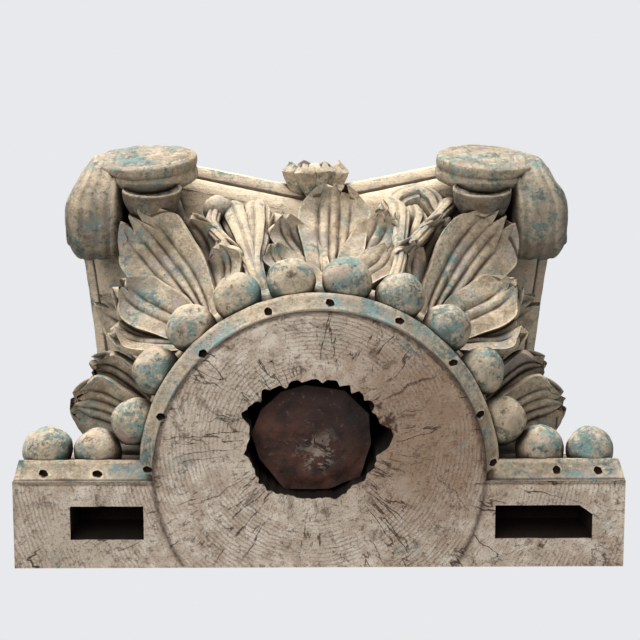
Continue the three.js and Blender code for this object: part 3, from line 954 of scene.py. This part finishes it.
def end_grain():
    """Bare end grain: faint rings round the bore, fine radial checks, pits and brown by the knot, with
    painted shade in its hollows and along the lip of the foot.
    """
    n = Nodes("bare_end_grain")
    n.shader.inputs["Specular IOR Level"].default_value = 0.2
    from_bore = n.moved(-0.006, (AXIS_Y - 14.5) * MM)
    rings = n.add("TexWave", Vector=from_bore, Scale=92, Distortion=3.0, Detail=3, Detail_Scale=1.4)
    rings.wave_type = "RINGS"
    rings.rings_direction = "Z"
    broad = n.noise(12, 4)
    patch = n.noise(64, 6, 0.68)
    crumb = n.noise(240, 5, 0.7)
    speck = n.noise(700, 3, 0.65)
    base = n.blend(n.step(patch, 0.36, 0.62), colour(255, 240, 220), colour(214, 192, 170))
    base = n.blend(n.step(broad, 0.44, 0.7), base, colour(222, 204, 182))
    ring_share = n.times(n.step(rings.outputs["Fac"], 0.6, 0.95), n.step(n.noise(18, 2), 0.38, 0.6))
    from_knot = n.length(n.moved(0.088, (AXIS_Y - 26) * MM))
    near_knot = n.step(n.plus(from_knot, n.times(broad, 0.03)), 0.14, 0.04)
    scrape = n.step(n.noise(34, 7, 0.78, distortion=1.2), 0.57, 0.66)
    angle = n.add("TexGradient", Vector=from_bore)
    angle.gradient_type = "RADIAL"
    turn = n.times(angle.outputs["Fac"], 42.0)
    polar_place = n.add("CombineXYZ", X=turn, Y=n.times(n.length(from_bore), 16.0)).outputs[0]
    check = n.add("TexNoise", Vector=polar_place, Scale=1.0, Detail=4, Roughness=0.5).outputs["Fac"]
    check = n.step(n.math("ABSOLUTE", n.math("SUBTRACT", check, 0.5)), 0.014, 0.002)
    check = n.times(check, n.step(n.noise(26, 3), 0.48, 0.58))
    base = n.cover(
        base,
        (ring_share, 0.34, (136, 112, 92)),
        (near_knot, 0.75, (158, 124, 96)),
        (n.step(crumb, 0.53, 0.66), 0.65, (120, 98, 80)),
        (n.step(speck, 0.55, 0.68), 0.55, (82, 62, 48)),
        (scrape, 0.45, (112, 88, 70)),
        (check, 0.8, (70, 50, 38)),
        (n.step(n.noise(20, 5, 0.7), 0.6, 0.68), 0.35, (150, 170, 164)),
    )
    # Painted shade, with some grime, in the hollows of the end face.
    base = n.hollow_shade_and_grime(0.012, 0.3, 0.9, (60, 43, 33), base)
    # Painted shade along the groove inside the foot's lip.
    base = n.cover(base, (n.layer("dirt_and_shade"), 0.85, (66, 46, 35)))
    rough = n.plus(n.times(ring_share, -0.25), crumb)
    rough = n.math("SUBTRACT", rough, n.times(check, 0.9))
    rough = n.math("SUBTRACT", rough, n.times(scrape, 0.5))
    return n.dress(base, 0.9, n.plus(rough, n.times(speck, 0.6)), 0.9, 0.0018)


def dark_wood():
    """Red-brown end grain, darker to the right and the front, with pale scratches in the middle and painted
    shade near the bore's wall.
    """
    n = Nodes("dark_broken_wood")
    centre = n.moved(-0.002, (AXIS_Y - 6) * MM)
    parts = n.add("SeparateXYZ", Vector=centre)
    patch = n.noise(45, 5, 0.6)
    corner = n.math("SUBTRACT", n.times(parts.outputs["X"], 0.7), parts.outputs["Y"])
    streak = n.step(n.noise(36, 6, 0.72, distortion=3.4), 0.5, 0.54)
    reach = n.plus(n.length(centre), n.times(n.noise(60, 3), 0.03))
    base = n.cover(
        n.blend(n.step(patch, 0.35, 0.65), colour(46, 27, 21), colour(92, 55, 41)),
        (n.step(corner, -0.01, 0.05), 0.75, (34, 23, 20)),
        (n.times(streak, n.step(reach, 0.048, 0.03)), 0.9, (172, 158, 144)),
        (n.step(n.noise(190, 4, 0.7), 0.6, 0.72), 0.5, (126, 104, 90)),
    )
    # Painted shade near the bore's wall round the sunk end.
    base = n.hollow_shade_and_grime(0.02, 0.1, 0.8, (14, 8, 6), base)
    return n.dress(base, 0.7, n.noise(160, 6, 0.7), 0.7, 0.002)


def make_stub():
    """The broken tenon end: a hewn prism whose end is rough and slightly domed."""
    random = np.random.default_rng(8)
    centre = np.array(STUB_MIDDLE)
    turns, reach = np.array(STUB_CORNERS).T
    turns = np.radians(turns)
    corners = centre + np.column_stack((np.cos(turns), np.sin(turns))) * (reach * STUB_SHARE)[:, None]
    sides = 9
    ends = np.roll(corners, -1, 0)
    loop = np.array([mix(a, b, i / sides) for a, b in zip(corners, ends) for i in range(sides)])
    count = len(loop)
    top = BORE_HEIGHT - 0.6
    coords, cap = filled(loop, [], 2.4)
    flat = np.column_stack((coords, np.zeros(len(coords))))
    away = np.hypot((flat[:, 0] - centre[0]) / 48, (flat[:, 1] - centre[1]) / 43)
    depth = STUB_RECESS + 2.5 * smooth(0.75, 1.0, away)
    depth += 1.6 * noise_of(flat, 0.07, 2) + 0.8 * noise_of(flat, 0.25, 6)
    flat[:, 2] = depth + random.uniform(-0.1, 0.1, len(depth))
    verts = flat.tolist()
    faces = cap[:, [0, 2, 1]].tolist()
    previous = list(range(count))
    for level in range(1, 9):
        current = list(range(len(verts), len(verts) + count))
        verts += [(x, y, mix(STUB_RECESS + 3, top, level / 8)) for x, y in loop]
        faces += band(previous, current)
        previous = current
    faces.append(previous)
    return np.array(verts), faces


def end_faces_of(piece):
    """Gives the bare end grain at the foot and the top its own material."""
    mesh = piece.data
    count = len(mesh.polygons)
    centres, normals = np.empty(count * 3), np.empty(count * 3)
    mesh.polygons.foreach_get("center", centres)
    mesh.polygons.foreach_get("normal", normals)
    centres, normals = centres.reshape(-1, 3) / MM, normals.reshape(-1, 3)
    x, y, z = (centres - (0, AXIS_Y, 0)).T
    within = (np.hypot(x, y - ARCH_Y) < LIP_RADIUS - 0.4) | (y > FLANGE_Y + FLANGE_COVE + 0.4)
    foot = (normals[:, 2] < -0.3) & (z < 6) & within
    top = (normals[:, 2] > 0.9) & (z > HEIGHT - 1)
    mesh.polygons.foreach_set("material_index", (foot | top).astype(np.int32))


def block_marks(piece):
    """The paint left on the foot moulding, and painted shade in its inner corner, the bore and the mortises.
    """
    points, _ = points_of(piece.data)
    x, y, z = (points - (0, AXIS_Y, 0)).T
    radial = RIM_RADIUS - np.hypot(x, y - ARCH_Y)
    edge = np.where(y < FLANGE_Y + FLANGE_COVE, np.maximum(radial, y - FLANGE_Y), np.minimum(radial, 99))
    edge = np.where(np.abs(x) > RIM_RADIUS, y - FLANGE_Y, edge)
    moulding = (z < COVE_RISE + 4) & (edge < COVE_WIDTH + 6)
    paint = np.where(moulding, 0.5, np.where(z > ABACUS_Z - 4, 0.1, 0.35))
    # Painted shade: a line along the groove inside the lip, where the lip shades the end face.
    inner = np.exp(-(((edge - COVE_WIDTH - 0.6) / 2.0) ** 2)) * (z < 4)
    wide = np.hypot((x - BORE["x"]) / (BORE["half_width"] + 18), (y - BORE["y"]) / (BORE["half_depth"] + 14))
    # Painted shade in the bore and the mortises.
    sunk = (wide < 1) & (z > 2.4) & (z < BORE_HEIGHT + 3)
    let_in = (np.abs(x) > MORTISE_INNER - 2) & (np.abs(x) < FOOT_HALF - 16) & (y > MORTISE_NEAR - 2)
    let_in &= (y < MORTISE_NEAR + MORTISE_DEPTH + 2) & (z > 2.4) & (z < MORTISE_HEIGHT + 3)
    return paint, np.maximum(0.95 * inner, np.where(sunk | let_in, 1.0, 0.0))


def scroll_dirt_and_shade(piece):
    """A little grime on the scrolls, and painted shade on the curls under the front ones."""
    points, _ = points_of(piece.data)
    x, y, z = (points - (0, AXIS_Y, 0)).T
    body = (y > -FRONT_REACH + 38) & (y < -176) & (np.abs(x) < 184) & (z < VOLUTE_Z + 30)
    # Painted shade on the curls' bodies under the front discs; a little grime elsewhere.
    return np.where(body, 0.5, 0.12)


def make_capital():
    wood, grain = carved_wood(), end_grain()
    block = fuse("carved_block", [make_block(), make_abacus()])
    weather(block, 0.6)
    marks = [make_nail_hole(x, y, order) for order, (x, y) in enumerate(NAILS)]
    marks += [make_crack(*crack) for crack in CRACKS]
    combine(block, fuse("marks", marks), "DIFFERENCE")
    finish(block, (wood, grain), *block_marks(block))
    end_faces_of(block)
    # The last column is an even darkening of the piece; where it is None the scrolls take grime and painted
    # shade under the front discs from their own function.
    for name, shapes, wear, paint, shade_and_dirt in (
        ("acanthus_leaves", make_leaves() + make_stalks(), 0.6, 0.3, 0.03),
        ("bead_row", make_beads(), 0.6, 0.75, 0.03),
        ("corner_scrolls", make_volutes(), 1.3, 0.55, None),
        ("abacus_flower", make_flower(), 0.6, 0.35, 0.18),
    ):
        piece = fuse(name, shapes)
        weather(piece, wear)
        finish(piece, (wood,), paint, scroll_dirt_and_shade(piece) if shade_and_dirt is None else shade_and_dirt)
    stub = to_object("broken_tenon", make_stub())
    stub.data.materials.append(dark_wood())
    stub.data.polygons.foreach_set("use_smooth", np.ones(len(stub.data.polygons), bool))
    stub.data.set_sharp_from_angle(angle=math.radians(35))
    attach(stub, "root")
    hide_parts("tenon_stub")


def make_floor():
    """A pale floor that is seen from above alone, so that the camera below it sees the underside."""
    n = Nodes("pale_floor")
    n.shader.inputs["Base Color"].default_value = colour(226, 227, 230)
    n.shader.inputs["Roughness"].default_value = 0.9
    chosen = n.add("MixShader", Fac=n.add("NewGeometry").outputs["Backfacing"])
    n.join(n.shader.outputs[0], chosen.inputs[1])
    n.join(n.add("BsdfTransparent").outputs[0], chosen.inputs[2])
    n.join(chosen.outputs[0], n.tree.nodes["Material Output"].inputs["Surface"])
    reach = 4.0
    mesh = bpy.data.meshes.new("floor")
    corners = [(-reach, -reach, 0), (reach, -reach, 0), (reach, reach, 0), (-reach, reach, 0)]
    mesh.from_pydata(corners, [], [(0, 1, 2, 3)])
    mesh.materials.append(n.material)
    floor = bpy.data.objects.new("floor", mesh)
    floor.location.z = -0.0005
    bpy.context.scene.collection.objects.link(floor)
    floor.visible_shadow = False
    floor.visible_diffuse = False
    floor.visible_glossy = False


def make_camera():
    """The photograph's camera: below the foot and a little in front, with the front of the capital up."""
    camera = bpy.data.objects.new("camera", bpy.data.cameras.new("camera"))
    bpy.context.scene.collection.objects.link(camera)
    camera.data.lens = CAMERA_LENS
    camera.data.clip_end = 30
    ahead = Vector(CAMERA_AHEAD).normalized()
    up = Vector((0, -1, 0))
    up = (up - up.dot(ahead) * ahead).normalized()
    right = ahead.cross(up)
    turn = Matrix((right, up, -ahead)).transposed().to_4x4()
    x, y, z = CAMERA_PLACE
    camera.matrix_world = Matrix.Translation(Vector((x, y + AXIS_Y, z)) * MM) @ turn
    bpy.context.scene.camera = camera


# The lights: places in metres, sizes and watts. All look at AIM.
AIM = Vector((0, 0, 0.16))
LIGHTS = (
    ("key", (-0.5, -2.0, 0.6), 1.3, 72),
    ("fill", (-0.5, -1.2, -2.0), 1.8, 34),
    ("top", (0.4, -0.8, 2.2), 2.0, 20),
)


def make_lights():
    for name, place, size, power in LIGHTS:
        light = bpy.data.lights.new(name, "AREA")
        light.energy = power
        light.size = size
        holder = bpy.data.objects.new(name, light)
        bpy.context.scene.collection.objects.link(holder)
        holder.location = place
        holder.rotation_euler = (AIM - Vector(place)).to_track_quat("-Z", "Y").to_euler()
    world = bpy.data.worlds.new("pale_room")
    world.use_nodes = True
    nodes, links = world.node_tree.nodes, world.node_tree.links
    background = nodes["Background"]
    background.inputs[0].default_value = colour(235, 236, 240)
    background.inputs[1].default_value = 0.3
    seen = nodes.new("ShaderNodeBackground")
    seen.inputs[0].default_value = colour(232, 233, 236)
    seen.inputs[1].default_value = 1.0
    path = nodes.new("ShaderNodeLightPath")
    either = nodes.new("ShaderNodeMixShader")
    links.new(path.outputs["Is Camera Ray"], either.inputs[0])
    links.new(background.outputs[0], either.inputs[1])
    links.new(seen.outputs[0], either.inputs[2])
    links.new(either.outputs[0], nodes["World Output"].inputs["Surface"])
    bpy.context.scene.world = world
    bpy.context.scene.view_settings.view_transform = "Standard"


make_camera()
make_capital()
make_floor()
make_lights()
